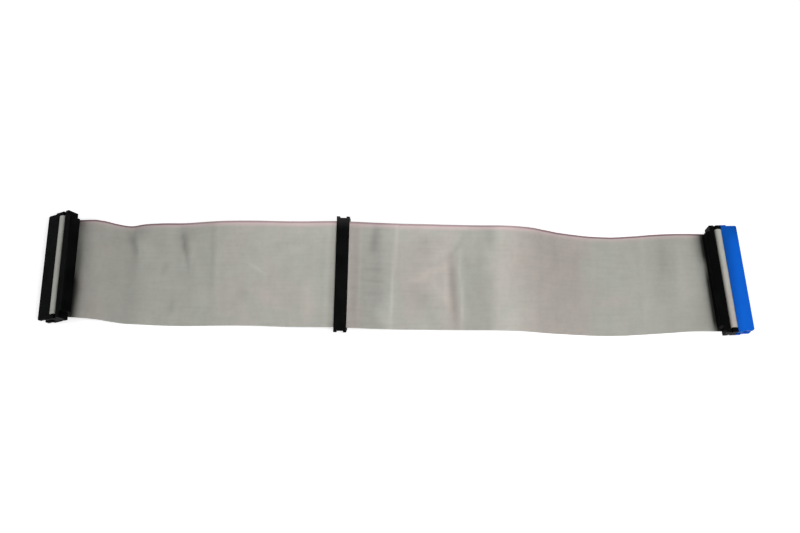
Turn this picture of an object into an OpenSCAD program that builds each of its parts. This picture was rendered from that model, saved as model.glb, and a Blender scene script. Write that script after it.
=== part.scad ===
// Drive ribbon cable: 80 fine conductors side by side in one flat ribbon, with three
// two-row sockets pressed onto it. The black end socket lies on its side at -X, the
// black middle socket stands on its mating face, and the blue host socket lies on its
// side at +X. Both end sockets have a clamp that folds the ribbon back over the cover.
//
// World frame: +X runs along the cable towards the host socket, +Y is the marked edge
// of the ribbon (conductor 1), and z = 0 is the surface that the cable lies on.
//
// Socket frame, used by every piece of a socket: u (X) is across the socket, v (Y) is
// along it with position 1 at +v, and w (Z) is the mating direction. The mating face
// is w = 0, and the pieces stack up in w: housing, ribbon, cover, ribbon, clamp.

/* [Ribbon] */
// Thickness of the ribbon over its insulation
ribbon_t = 0.7; // [0.5:0.05:1]
// Part of the edge that the insulation rounds off
ribbon_edge = 0.2; // [0.05:0.05:0.3]

/* [Socket] */
// Contact positions in each of the two rows
columns = 20; // [5:1:25]
// Distance between neighbouring positions of a row, which spans four conductors
contact_pitch = 2.54; // [2.3:0.01:3.1]
// Distance between the two rows
row_pitch = 2.54; // [2.3:0.01:3.1]
// Width of housing, cover and clamp
socket_w = 6.1; // [5.6:0.1:8]
// Height of the housing
housing_h = 7.8; // [7:0.1:10]
// Height of the full length band next to the ribbon, above the shorter mating part
band_h = 2.6; // [1.5:0.1:3]
// Amount by which the mating part is shorter at each end
band_step = 0.5; // [0.2:0.1:0.8]
// Radius of the housing's corners at the mating face
corner_r = 0.9; // [0.3:0.1:1.4]
// Radius of the long edges of cover and clamp that the ribbon wraps round
wrap_r = 0.6; // [0.3:0.1:1]

/* [Polarising] */
// Width of the key on the long side of the mating part
key_w = 3.8; // [3:0.1:5]
// Height of the key over the side of the housing
key_h = 0.9; // [0.5:0.1:1.2]
// Length of the key along the mating direction
key_l = 5; // [3:0.1:5.2]
// Position that is closed, so that only a header without this pin fits
blocked_pin = 20; // [0:1:50]
// Position of the middle socket that has no contact, so that the drive is told apart
select_pin = 28; // [0:1:50]

/* [Contacts] */
// Side of the square passage that guides a pin
passage = 0.95; // [0.8:0.05:1.1]
// Side of the funnel's mouth on the mating face
funnel = 1.5; // [1.2:0.1:1.7]
// Depth of the funnel
funnel_h = 0.5; // [0.3:0.1:0.8]
// Thickness of the contact sheet
sheet_t = 0.3; // [0.2:0.05:0.35]
// Width over the two beams that grip a pin
beam_w = 1.6; // [1.4:0.05:1.7]
// Free distance between the beams where they grip a 0.64 mm pin
grip_gap = 0.56; // [0.5:0.02:0.62]
// Width of a fork that cuts through the insulation
fork_w = 0.8; // [0.6:0.05:0.9]
// Slot of a fork, which holds one conductor
fork_slot = 0.2; // [0.15:0.01:0.3]
// Length of a fork past the ribbon, into the cover
fork_reach = 1; // [0.8:0.1:1.2]

/* [Cover] */
// Height of the cover
cover_h = 1.9; // [1.6:0.1:4]
// Thickness of the two latch arms
arm_t = 0.7; // [0.6:0.1:1]
// Width of the latch arms
arm_w = 3; // [2:0.1:3.2]
// Height of the arms' lower ends over the mating face
arm_low = 2.4; // [1.5:0.1:3.5]
// Amount by which a catch stands out
catch_t = 0.4; // [0.3:0.05:0.5]

/* [Clamp] */
// Height of the clamp that folds the ribbon back
clamp_h = 4.7; // [3.4:0.1:6]
// Length of the shoulder at each end of the clamp, along the socket
shoulder_l = 2.9; // [1:0.1:5]
// Height of the clamp's middle over its shoulders
shoulder_drop = 2.1; // [1:0.1:2.3]
// Thickness of the legs that hook the clamp to the cover
leg_t = 0.6; // [0.5:0.1:1]
// Radius of the clamp's front edges, which the ribbon leaves round
clamp_r = 1; // [0.6:0.1:1.2]

/* [Lay] */
// Mating face of the black end socket, along the cable
end_x = -170; // [-180:1:-165]
// Lift of the end socket's cable side from lying flat, as an angle
end_roll = 30; // [26:1:34]
// Turn of the end socket seen from above
end_yaw = 2; // [-3:0.5:3]
// Mating face of the host socket, along the cable
host_x = 172; // [168:1:182]
// Lift of the host socket's cable side from lying flat, as an angle
host_roll = 2; // [1:1:6]
// Turn of the host socket seen from above
host_yaw = 3.5; // [-4:0.5:4]
// Place of the middle socket along the cable
middle_x = -24.5; // [-30:0.5:-20]
// Tilt of the middle socket, whose far end stands higher
middle_tilt = 19; // [14:1:22]
// Turn of the middle socket seen from above
middle_yaw = -1; // [-2:1:2]

/* [Hidden] */
$fn = 48;

// Clearances
slide_gap = 0.05;   // between pieces that slide into each other
cut = 0.1;          // length by which a cutter passes the face that it opens

// Ribbon
conductor_pitch = contact_pitch / 4;
ribbon_w = 4 * columns * conductor_pitch;

// Levels along the mating direction
half_w = socket_w / 2;
cover_w0 = housing_h + ribbon_t;
cover_w1 = cover_w0 + cover_h;
clamp_w0 = cover_w1 + ribbon_t;
clamp_w1 = clamp_w0 + clamp_h;

// Stations along the socket, from its middle
groove_v = ribbon_w / 2 + 0.4;             // floor of the grooves in the housing's ends
arm_v = groove_v + slide_gap;              // inner face of the latch arms
notch_v = arm_v + arm_t;                   // outer face of the latch arms
leg_v = notch_v + catch_t + slide_gap;     // inner face of the clamp's legs
half_l = leg_v + leg_t;
mating_half_l = half_l - band_step;
groove_w = arm_w + 4 * slide_gap;

// Contacts
chamber_l = beam_w + 2 * slide_gap;
beam_low = funnel_h + 0.7;
beam_ease = 0.14;                          // hollow of each beam, away from the grip
grip_low = 0.6;                            // the grip over the beams' lower ends
grip_high = 1.6;
shoulder_low = housing_h - 1.9;
shoulder_h = 0.8;
fork_top = cover_w0 + fork_reach;
fork_point = 0.35;
slot_low = housing_h - 0.5;
signal_offset = [1.5 * conductor_pitch, -0.5 * conductor_pitch];
ground_offset = [0.5 * conductor_pitch, -1.5 * conductor_pitch];

// Ground bar
GROUND_PINS = [2, 19, 22, 24, 26, 30, 40];
ground_l = (2 * columns - 1) * 2 * conductor_pitch + fork_w;
ground_v = -conductor_pitch / 2;           // middle of the bar along the socket
bar_low = housing_h - 3.2;
bar_top = housing_h - 0.9;
tab_w = 0.9;
tab_h = 0.6;
tab_low = shoulder_low + 0.1;

// Mark at position 1
mark_side = 1.6;
mark_depth = 0.15;
mark_top = housing_h - 0.6;

// The catches that hold cover and clamp
catch_w = 1.6;
catch_low = arm_low + 0.7;
catch_h = 1.2;
lug_w1 = cover_w1 - 0.5;
lug_h = 0.6;
leg_low = lug_w1 - lug_h - 1;
shoulder_w1 = clamp_w1 - shoulder_drop;
shoulder_slope = 0.5;                      // lean of the step between shoulder and middle

// Lay of the cable
side_y = 2.1;
middle_y = -0.35;
end_bend_r = 4;                            // path radius as the ribbon leaves the end socket
host_bend_r = clamp_r + ribbon_t / 2;      // the host socket's ribbon hugs the clamp's edge
lead = 10;

// Free ribbon from the end socket to the middle one: x, y, z, tilt and turn of its middle
END_RUN = [
    [-146, 2.3, 4.3, 3, 1.5], [-138, 1.5, 2.7, 2, 1], [-131, 0.8, 1.6, 2, 0.5],
    [-123, 0.4, 3.3, 6, 0], [-113, -0.2, 5, 10, 0], [-102, -0.6, 6.4, 13, 0],
    [-91, -0.8, 8.2, 17, 0], [-80, -1.1, 10.2, 19.5, 0], [-68, -1.4, 11.5, 20, 0],
    [-56, -2, 12.8, 20, -0.5], [-45, -2.5, 14.1, 19.5, -1]
];
// Free ribbon from the middle socket to the host one
HOST_RUN = [
    [-10, -3.2, 15.5, 19, -1], [3, -3, 14.1, 19.5, -1], [16, -2.5, 12.8, 19.5, -0.5],
    [29, -2.2, 11.8, 20, 0], [42, -1.8, 10.8, 20, 0], [54, -1.5, 10.3, 20, 0],
    [65, -1.4, 8.8, 17, 0], [75, -1.4, 6.2, 12, 0], [85, -1.4, 3.5, 6.5, 0], [96, -1.7, 1.9, 3, 0],
    [108, -1.7, 1.4, 1.5, 0], [120, -1, 1.6, 1.5, 0.5], [132, 0, 1.8, 2, 1.5], [145, 1.1, 1.2, 0.5, 2.5]
];

// ---- Places of the three sockets ----

end_z = half_w * cos(end_roll);
host_z = (half_w + key_h) * cos(host_roll);
middle_z = (mating_half_l - corner_r) * sin(middle_tilt) + corner_r * (1 - cos(middle_tilt));

module at_end() {
    translate([end_x, side_y, end_z]) rotate([0, 90 - end_roll, end_yaw]) children();
}

module at_host() {
    translate([host_x, side_y, host_z]) rotate([0, host_roll - 90, host_yaw]) children();
}

module at_middle() {
    translate([middle_x, middle_y, middle_z]) rotate([middle_tilt, 0, middle_yaw]) children();
}

function turned(x, y, z, yaw) = [x * cos(yaw) - y * sin(yaw), x * sin(yaw) + y * cos(yaw), z];

// The same places for one point of the ribbon's centre line. In the two side sockets u
// counts towards the table, where the ribbon leaves.
function end_point(u, w) = [end_x, side_y, end_z] + turned(
    u * sin(end_roll) + w * cos(end_roll), 0, w * sin(end_roll) - u * cos(end_roll), end_yaw
);

function host_point(u, w) = [host_x, side_y, host_z] + turned(
    -u * sin(host_roll) - w * cos(host_roll), 0, w * sin(host_roll) - u * cos(host_roll), host_yaw
);

function middle_point(u, w) = [middle_x, middle_y, middle_z] + turned(
    u, -w * sin(middle_tilt), w * cos(middle_tilt), middle_yaw
);

// ---- Ribbon ----

// Points of a bend that turns about (u, w) from angle a0 to a1. They stand outside the
// arc, so that the flats between them touch it.
function bend(u, w, r, a0, a1, n) = [
    for (i = [0:n - 1])
        let (half = (a1 - a0) / n / 2, a = a0 + (2 * i + 1) * half, rho = r / cos(half))
            [u - rho * sin(a), w - rho * cos(a)]
];

// Centre line inside an end socket, from the cut end to the exit: through the crimp,
// round the cover, back under the clamp, and out round the clamp's front edge.
function socket_path(bend_r, turn) = let (
    crimp = housing_h + ribbon_t / 2,
    back = cover_w1 + ribbon_t / 2,
    side = wrap_r - half_w,
    wrap = wrap_r + ribbon_t / 2,
    out = half_w - clamp_r
) concat(
    [[half_w - 0.1, crimp]],
    bend(side, cover_w0 + wrap_r, wrap, 0, 90, 3),
    bend(side, cover_w1 - wrap_r, wrap, 90, 180, 3),
    bend(out, back + bend_r, bend_r, 0, -turn, 4),
    [[out + bend_r * sin(turn), back + bend_r - bend_r * cos(turn)]]
);

function station(p, tilt, yaw) = [p.x, p.y, p.z, tilt, yaw];
function last(list) = list[len(list) - 1];
function reverse(list) = [for (i = [len(list) - 1:-1:0]) list[i]];

// Smooth curve through a list of stations. Its first and last are only directions.
function mix(a, b, c, d, t) = (
    2 * b + (c - a) * t + (2 * a - 5 * b + 4 * c - d) * t * t + (3 * b - a - 3 * c + d) * t * t * t
) / 2;

function smooth(list, n) = [
    for (i = [1:len(list) - 3])
        for (k = [(i == 1 ? 1 : 0):n - 1])
            mix(list[i - 1], list[i], list[i + 1], list[i + 2], k / n)
];

end_inside = [
    for (p = socket_path(end_bend_r, 90 - end_roll)) station(end_point(p[0], p[1]), 0, end_yaw)
];
host_inside = [
    for (p = socket_path(host_bend_r, 90 - host_roll)) station(host_point(p[0], p[1]), 0, host_yaw)
];
end_lead = last(end_inside) - concat(turned(lead, 0, 0, end_yaw), [0, 0]);
host_lead = last(host_inside) + concat(turned(lead, 0, 0, host_yaw), [0, 0]);

crimp_w = housing_h + ribbon_t / 2;
function middle_station(u) = station(middle_point(u, crimp_w), middle_tilt, middle_yaw);

ribbon_stations = concat(
    end_inside,
    smooth(concat([end_lead, last(end_inside)], END_RUN, [for (u = [-half_w, lead]) middle_station(u)]), 2),
    [for (u = [-half_w, half_w]) middle_station(u)],
    smooth(
        concat([for (u = [-lead, half_w]) middle_station(u)], HOST_RUN, [last(host_inside), host_lead]), 2
    ),
    reverse(host_inside)
);

// Half of the section, as [across, thickness] from the +v edge round to the -v edge. The
// flat has points between its ends, which keep it true where the ribbon twists.
flat_v = ribbon_w / 2 - ribbon_edge;
flat_parts = 3;
section_top = concat(
    [[ribbon_w / 2, ribbon_t / 2 - ribbon_edge]],
    [for (k = [0:flat_parts]) [flat_v - k * 2 * flat_v / flat_parts, ribbon_t / 2]],
    [[-ribbon_w / 2, ribbon_t / 2 - ribbon_edge]]
);
ribbon_section = concat(section_top, [for (p = section_top) -p]);

function unit(a) = a / norm(a);
function xyz(s) = [s[0], s[1], s[2]];
function across(s) = [-sin(s[4]) * cos(s[3]), cos(s[4]) * cos(s[3]), sin(s[3])];

// One ring of the ribbon, mitred between the stretches before and after it
function ring(path, i) = let (
    here = xyz(path[i]),
    before = unit(i == 0 ? xyz(path[1]) - here : here - xyz(path[i - 1])),
    after = unit(i == len(path) - 1 ? before : xyz(path[i + 1]) - here),
    side = across(path[i]),
    n0 = unit(cross(before, side)),
    n1 = unit(cross(after, side)),
    normal = unit(n0 + n1),
    mitre = 1 / (normal * n0)
) [for (p = ribbon_section) here + p[0] * side + p[1] * mitre * normal];

// The two faces are split along the same diagonals, so that a twist leaves the
// thickness as it is.
module strip(path) {
    n = len(ribbon_section);
    rings = [for (i = [0:len(path) - 1]) ring(path, i)];
    points = [for (r = rings) each r];
    sides = [
        for (i = [0:len(path) - 2], k = [0:n - 1])
            let (a = i * n + k, b = i * n + (k + 1) % n)
                each k < n / 2 ? [[a, b + n, b], [a, a + n, b + n]] : [[a, a + n, b], [b, a + n, b + n]]
    ];
    start = [for (k = [0:n - 1]) k];
    finish = [for (k = [n - 1:-1:0]) (len(path) - 1) * n + k];
    polyhedron(points, concat(sides, [start, finish]), convexity = 6);
}

module ribbon() {
    color([0.66, 0.66, 0.63]) strip(ribbon_stations);
}

// ---- Helpers of the socket frame ----

// Extrudes an outline drawn in (v, w) across the socket
module over_width(width) {
    translate([-width / 2, 0, 0]) rotate([90, 0, 90]) linear_extrude(width) children();
}

// Extrudes an outline drawn in (u, w) along the socket
module over_length(length) {
    rotate([90, 0, 0]) linear_extrude(length, center = true) children();
}

// Box between two corners
module box(low, high) {
    translate(low) cube(high - low);
}

// The children at both ends of the socket
module both_ends() {
    children();
    mirror([0, 1, 0]) children();
}

// The children on both long sides
module both_sides() {
    children();
    mirror([1, 0, 0]) children();
}

// Rectangle whose lower and upper corners have radii r0 and r1
module round_rect(half, low, high, r0, r1) {
    translate([-half, low + r0]) square([2 * half, high - low - r0 - r1]);
    translate([r0 - half, low]) square([2 * (half - r0), r0]);
    translate([r1 - half, high - r1]) square([2 * (half - r1), r1]);
    for (s = [-1, 1]) {
        translate([s * (half - r0), low + r0]) circle(r0);
        translate([s * (half - r1), high - r1]) circle(r1);
    }
}

function column_v(j) = ((columns - 1) / 2 - j) * contact_pitch;
function row_u(row) = (row - 0.5) * row_pitch;
function pin(j, row) = 2 * j + 1 + row;

// The children at each position of a row, except the positions that are left out.
// $row tells them which row they are in.
module each_position(row, left_out) {
    for (j = [0:columns - 1])
        if (len([for (p = left_out) if (p == pin(j, row)) p]) == 0) {
            $row = row;
            translate([row_u(row), column_v(j), 0]) children();
        }
}

module each_ground_pin() {
    for (p = GROUND_PINS)
        if (p <= 2 * columns) {
            $row = 1 - p % 2;
            translate([0, column_v(floor((p - 1) / 2)), 0]) children();
        }
}

// ---- Housing ----

module funnel_outline() {
    polygon([
        [-funnel / 2, -cut], [funnel / 2, -cut], [funnel / 2, 0],
        [passage / 2, funnel_h], [-passage / 2, funnel_h], [-funnel / 2, 0]
    ]);
}

// Room for one contact: funnel, passage, chamber for the beams and seat for the fork
module position_cut() {
    fork_v = signal_offset[$row] + fork_w / 2 + slide_gap;
    seat_u = sheet_t / 2 + 2 * slide_gap;
    intersection() {
        over_width(funnel) funnel_outline();
        over_length(funnel) funnel_outline();
    }
    box([-passage / 2, -passage / 2, funnel_h], [passage / 2, passage / 2, beam_low]);
    box([-passage / 2, -chamber_l / 2, beam_low - slide_gap],
        [passage / 2, chamber_l / 2, housing_h + cut]);
    box([-seat_u, -chamber_l / 2, shoulder_low - slide_gap],
        [seat_u, max(chamber_l / 2, fork_v), housing_h + cut]);
}

// Room for the ground bar and for its tabs
module ground_cut() {
    bar_u = sheet_t / 2 + slide_gap;
    bar_v = ground_l / 2 + slide_gap;
    box([-bar_u, ground_v - bar_v, bar_low - slide_gap], [bar_u, ground_v + bar_v, housing_h + cut]);
    each_ground_pin()
        mirror([1 - $row, 0, 0])
            box([0, -tab_w / 2 - slide_gap, tab_low - slide_gap],
                [row_pitch / 2, tab_w / 2 + slide_gap, housing_h + cut]);
}

module housing_outline() {
    round_rect(mating_half_l, 0, housing_h - band_h / 2, corner_r, 0.2);
    translate([-half_l, housing_h - band_h]) square([2 * half_l, band_h]);
}

// Wedge that the window of a latch arm snaps over
module catch() {
    over_width(catch_w)
        polygon([
            [groove_v - cut, catch_low], [groove_v, catch_low],
            [groove_v + catch_t, catch_low + catch_h - 0.2],
            [groove_v + catch_t, catch_low + catch_h], [groove_v - cut, catch_low + catch_h]
        ]);
}

module key() {
    translate([-half_w, 0, 0])
        rotate([0, 0, 90])
            linear_extrude(key_l)
                polygon([[-key_w / 2, -cut], [-key_w / 2, key_h], [key_w / 2, key_h], [key_w / 2, -cut]]);
}

// Triangle sunk into the side, at position 1
module position_mark() {
    translate([-half_w - cut, column_v(0), mark_top])
        rotate([90, 0, 90])
            linear_extrude(cut + mark_depth)
                polygon([[-mark_side / 2, 0], [mark_side / 2, 0], [0, -mark_side]]);
}

module housing(keyed) {
    difference() {
        union() {
            over_width(socket_w) housing_outline();
            if (keyed) key();
        }
        both_ends()
            box([-groove_w / 2, groove_v, -cut], [groove_w / 2, half_l + cut, housing_h + cut]);
        for (row = [0, 1]) each_position(row, [blocked_pin]) position_cut();
        ground_cut();
        position_mark();
    }
    both_ends() catch();
}

// ---- Contacts ----

// Forked end of a contact, drawn in (v, w) and centred on its conductor
module fork(low) {
    difference() {
        union() {
            translate([-fork_w / 2, low]) square([fork_w, fork_top - fork_point - low]);
            polygon([
                [-fork_w / 2, fork_top - fork_point], [fork_w / 2, fork_top - fork_point],
                [fork_w / 4, fork_top], [-fork_w / 4, fork_top]
            ]);
        }
        translate([-fork_slot / 2, slot_low]) square([fork_slot, fork_top]);
    }
}

// Space between the two beams, narrowest where they grip the pin
module grip_outline() {
    grip = grip_gap / 2;
    wide = grip + beam_ease;
    polygon([
        [-wide, beam_low - cut], [wide, beam_low - cut], [grip, beam_low + grip_low],
        [wide, beam_low + grip_high], [wide, shoulder_low], [-wide, shoulder_low],
        [-wide, beam_low + grip_high], [-grip, beam_low + grip_low]
    ]);
}

// One contact, punched flat: two beams, a shoulder and a fork beside its centre
module contact() {
    offset_v = signal_offset[$row];
    low_v = min(-beam_w / 2, offset_v - fork_w / 2);
    high_v = max(beam_w / 2, offset_v + fork_w / 2);
    over_width(sheet_t) {
        difference() {
            translate([-beam_w / 2, beam_low]) square([beam_w, shoulder_low + 0.1 - beam_low]);
            grip_outline();
        }
        translate([low_v, shoulder_low]) square([high_v - low_v, shoulder_h]);
        translate([offset_v, 0]) fork(shoulder_low + shoulder_h / 2);
    }
}

module contacts(row, left_out) {
    color([0.83, 0.68, 0.32]) each_position(row, left_out) contact();
}

// Comb that joins every second conductor, with tabs that touch the grounded contacts
module ground_bar() {
    color([0.8, 0.78, 0.72]) {
        over_width(sheet_t) {
            translate([ground_v - ground_l / 2, bar_low])
                square([ground_l, bar_top - bar_low]);
            for (j = [0:columns - 1], v = ground_offset)
                translate([column_v(j) + v, 0]) fork(bar_low + 1);
        }
        each_ground_pin()
            mirror([1 - $row, 0, 0])
                box([0, -tab_w / 2, tab_low], [(row_pitch - sheet_t) / 2, tab_w / 2, tab_low + tab_h]);
    }
}

// ---- Cover ----

// Pockets in the cover's underside for the tips of the forks
module fork_pockets() {
    pocket = [sheet_t + 4 * slide_gap, fork_w + 2 * slide_gap, fork_reach + 0.1 + cut];
    for (j = [0:columns - 1]) {
        for (row = [0, 1])
            translate([row_u(row) - pocket.x / 2, column_v(j) + signal_offset[row] - pocket.y / 2, 0])
                translate([0, 0, cover_w0 - cut]) cube(pocket);
        for (v = ground_offset)
            translate([-pocket.x / 2, column_v(j) + v - pocket.y / 2, cover_w0 - cut]) cube(pocket);
    }
}

// One end of the cover: two ears with feet on the housing, and the latch arm between them
module cover_end() {
    both_sides()
        box([groove_w / 2, groove_v, housing_h], [half_w, half_l, cover_w1]);
    difference() {
        box([-arm_w / 2, arm_v, arm_low], [arm_w / 2, notch_v, cover_w1]);
        box([-catch_w / 2 - slide_gap, arm_v - cut, catch_low - slide_gap],
            [catch_w / 2 + slide_gap, notch_v + cut, catch_low + catch_h + slide_gap]);
    }
    box([-arm_w / 2, notch_v - cut, lug_w1 - lug_h], [arm_w / 2, notch_v + catch_t, lug_w1]);
}

module cover() {
    color([0.05, 0.05, 0.055]) {
        difference() {
            over_length(2 * notch_v) round_rect(half_w, cover_w0, cover_w1, wrap_r, wrap_r);
            fork_pockets();
        }
        both_ends() cover_end();
    }
}

// ---- Clamp ----

module clamp_outline() {
    step_v = half_l - shoulder_l;
    polygon([
        [-half_l, clamp_w0], [half_l, clamp_w0], [half_l, shoulder_w1], [step_v, shoulder_w1],
        [step_v - shoulder_slope, clamp_w1], [shoulder_slope - step_v, clamp_w1],
        [-step_v, shoulder_w1], [-half_l, shoulder_w1]
    ]);
}

// One end of the clamp: pads that seat on the cover, and the leg that hooks under its lug
module clamp_end() {
    both_sides()
        box([groove_w / 2, groove_v, cover_w1], [half_w - clamp_r, half_l, clamp_w0 + cut]);
    box([-arm_w / 2, leg_v, leg_low], [arm_w / 2, half_l, clamp_w0 + cut]);
    box([-arm_w / 2, notch_v + 2 * slide_gap, leg_low],
        [arm_w / 2, leg_v + cut, lug_w1 - lug_h - slide_gap]);
}

module clamp() {
    color([0.05, 0.05, 0.055]) {
        intersection() {
            over_width(socket_w) clamp_outline();
            over_length(2 * half_l) round_rect(half_w, clamp_w0, clamp_w1, clamp_r, wrap_r);
        }
        both_ends() clamp_end();
    }
}

module end_housing() {
    color([0.05, 0.05, 0.055]) at_end() housing(keyed = false);
}

module end_cover() {
    at_end() cover();
}

module end_clamp() {
    at_end() clamp();
}

module end_contacts_a() {
    at_end() contacts(0, [blocked_pin]);
}

module end_contacts_b() {
    at_end() contacts(1, [blocked_pin]);
}

module end_ground_bar() {
    at_end() ground_bar();
}

module middle_housing() {
    color([0.05, 0.05, 0.055]) at_middle() housing(keyed = true);
}

module middle_cover() {
    at_middle() cover();
}

module middle_contacts_a() {
    at_middle() contacts(0, [blocked_pin, select_pin]);
}

module middle_contacts_b() {
    at_middle() contacts(1, [blocked_pin, select_pin]);
}

module middle_ground_bar() {
    at_middle() ground_bar();
}

module host_housing() {
    color([0.07, 0.38, 0.85]) at_host() housing(keyed = true);
}

module host_cover() {
    at_host() cover();
}

module host_clamp() {
    at_host() clamp();
}

module host_contacts_a() {
    at_host() contacts(0, [blocked_pin]);
}

module host_contacts_b() {
    at_host() contacts(1, [blocked_pin]);
}

module host_ground_bar() {
    at_host() ground_bar();
}

ribbon();
end_housing();
end_cover();
end_clamp();
end_contacts_a();
end_contacts_b();
end_ground_bar();
middle_housing();
middle_cover();
middle_contacts_a();
middle_contacts_b();
middle_ground_bar();
host_housing();
host_cover();
host_clamp();
host_contacts_a();
host_contacts_b();
host_ground_bar();
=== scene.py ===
"""Looks of a drive ribbon cable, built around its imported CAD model.

A flat grey ribbon of 80 fine conductors, with a rose stripe along one edge, runs through
three long sockets. The ribbon is rebuilt here with its ribs, swells and creases, the cut
ends of its conductors are added, and the moulded and stamped pieces get their finishes.

Everything is in metres in the row frame: +X along the cable towards the blue host socket,
+Y towards the striped edge, and z = 0 is the surface that the cable lies on. Sizes inside
the classes are in millimetres, as the part is drawn, and scales of a pattern are per metre.
"""

from __future__ import annotations
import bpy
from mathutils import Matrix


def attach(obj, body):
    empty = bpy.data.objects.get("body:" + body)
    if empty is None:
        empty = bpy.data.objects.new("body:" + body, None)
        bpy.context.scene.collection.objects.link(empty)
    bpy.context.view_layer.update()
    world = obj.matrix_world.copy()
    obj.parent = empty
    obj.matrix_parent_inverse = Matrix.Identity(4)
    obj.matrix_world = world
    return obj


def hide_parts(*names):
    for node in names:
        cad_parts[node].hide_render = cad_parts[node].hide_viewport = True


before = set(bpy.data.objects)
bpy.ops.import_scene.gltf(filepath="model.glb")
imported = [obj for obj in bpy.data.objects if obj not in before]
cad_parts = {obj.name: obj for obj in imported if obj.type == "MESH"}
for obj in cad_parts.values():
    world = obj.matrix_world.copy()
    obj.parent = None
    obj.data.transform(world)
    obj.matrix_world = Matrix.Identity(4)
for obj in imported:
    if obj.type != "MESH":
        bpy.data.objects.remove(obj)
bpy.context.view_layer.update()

import logging
import math
from dataclasses import dataclass, field
from enum import Enum
from typing import Any, Iterable, Sequence

import bpy
import numpy as np
from mathutils import Euler, Matrix, Vector

MM = 0.001
Colour = tuple[float, float, float]
Table = tuple[tuple[float, ...], ...]
log = logging.getLogger("ribbon_cable")


# ---- Small tools ----


@dataclass
class Graph:
    """Adds nodes to a shader or geometry tree and joins them."""

    tree: bpy.types.NodeTree

    def feed(self, socket: bpy.types.NodeSocket, value: Any) -> None:
        """Feeds an input socket.

        Args:
            socket: the input socket.
            value: an output to link to it, or its value.
        """
        if isinstance(value, bpy.types.NodeSocket):
            self.tree.links.new(value, socket)
        else:
            socket.default_value = value

    def add(self, kind: str, inputs: dict[Any, Any] | None = None, **settings: Any) -> bpy.types.Node:
        """Adds one node.

        Args:
            kind: the node's type name.
            inputs: socket name or number to a value, or to an output socket to link.
            settings: the node's own properties.

        Returns:
            The new node.
        """
        node = self.tree.nodes.new(kind)
        for key, value in settings.items():
            setattr(node, key, value)
        for key, value in (inputs or {}).items():
            self.feed(node.inputs[key], value)
        return node

    def math(self, operation: str, *values: Any) -> bpy.types.NodeSocket:
        """Adds a Math node and returns its output."""
        return self.add("ShaderNodeMath", dict(enumerate(values)), operation=operation).outputs[0]

    def ramp(self, value: bpy.types.NodeSocket, low: float, high: float,
             out_low: float = 0.0, out_high: float = 1.0) -> bpy.types.NodeSocket:
        """Maps low..high smoothly to out_low..out_high and returns the output."""
        inputs = {0: value, 1: low, 2: high, 3: out_low, 4: out_high}
        return self.add("ShaderNodeMapRange", inputs, interpolation_type="SMOOTHSTEP").outputs[0]

    def mix(self, factor: Any, first: Any, second: Any) -> bpy.types.NodeSocket:
        """Mixes two colours and returns the output."""
        return self.add("ShaderNodeMix", {0: factor, 6: first, 7: second}, data_type="RGBA").outputs[2]

    def noise(self, vector: bpy.types.NodeSocket, scale: Any, detail: float,
              roughness: float = 0.5) -> bpy.types.NodeSocket:
        """Adds a noise and returns its value."""
        inputs = {"Vector": vector, "Scale": scale, "Detail": detail, "Roughness": roughness}
        return self.add("ShaderNodeTexNoise", inputs).outputs[0]

    def bump(self, height: bpy.types.NodeSocket, strength: float, depth: float,
             **normal: bpy.types.NodeSocket) -> bpy.types.NodeSocket:
        """Adds a bump, depth in millimetres, and returns its normal."""
        inputs = {"Height": height, "Strength": strength, "Distance": depth * MM, **normal}
        return self.add("ShaderNodeBump", inputs).outputs[0]


def clean_graph(owner: bpy.types.Material | bpy.types.World) -> Graph:
    """Starts an empty node tree.

    Args:
        owner: the material or world that it belongs to.

    Returns:
        Its graph.
    """
    owner.use_nodes = True
    owner.node_tree.nodes.clear()
    return Graph(owner.node_tree)


def rgba(colour: Sequence[float]) -> tuple[float, float, float, float]:
    """The colour with an alpha of one."""
    return (*colour, 1.0)


def scene_object(name: str, data: bpy.types.ID) -> bpy.types.Object:
    """Makes an object at the origin.

    Args:
        name: its name.
        data: its mesh, lamp or camera.

    Returns:
        The object, linked to the scene.
    """
    item = bpy.data.objects.new(name, data)
    bpy.context.scene.collection.objects.link(item)
    return item


def mesh_object(name: str, vertices: np.ndarray, faces: Iterable[Sequence[int]],
                smooth: bool = True) -> bpy.types.Object:
    """Makes an object at the origin from points in metres.

    Args:
        name: the piece's name.
        vertices: points, one row each.
        faces: vertex numbers of each face, outwards by the right-hand rule.
        smooth: whether the faces are shaded smooth.

    Returns:
        The linked object.
    """
    mesh = bpy.data.meshes.new(name)
    mesh.from_pydata([tuple(p) for p in vertices], [], [tuple(f) for f in faces])
    mesh.polygons.foreach_set("use_smooth", [smooth] * len(mesh.polygons))
    mesh.update()
    return scene_object(name, mesh)


# ---- Sizes, as drawn in CAD ----


@dataclass(frozen=True)
class RibbonSizes:
    """Sizes of the ribbon. Its cut ends stand cut_back from the sides of their sockets."""

    conductors: int = 80
    pitch: float = 0.635
    thickness: float = 0.7
    cut_length: float = 353.0
    cut_back: float = 0.1

    @property
    def width(self) -> float:
        """Width over all conductors."""
        return self.conductors * self.pitch


@dataclass(frozen=True)
class SocketSizes:
    """Sizes of a socket along its mating direction w and across it.

    The ribbon goes round the cover with the radius wrap and leaves over the clamp's edge.
    The housing stands back by step from the whole length at each end.
    """

    width: float = 6.1
    length: float = 55.2
    housing: float = 7.8
    cover: float = 1.9
    wrap: float = 0.6
    clamp_edge: float = 1.0
    key: float = 0.9
    corner: float = 0.9
    step: float = 0.5
    ribbon: RibbonSizes = RibbonSizes()

    @property
    def half(self) -> float:
        """Half of the width."""
        return self.width / 2

    @property
    def crimp(self) -> float:
        """Where the middle of the crimped ribbon lies, from the mating face."""
        return self.housing + self.ribbon.thickness / 2


# ---- Shader groups that several finishes share ----


class Effect(Enum):
    """The shared shader groups."""

    MOULD_GRAIN = "mould_grain"
    EDGE_WEAR = "edge_wear"
    MOTTLE = "mottle"


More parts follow.
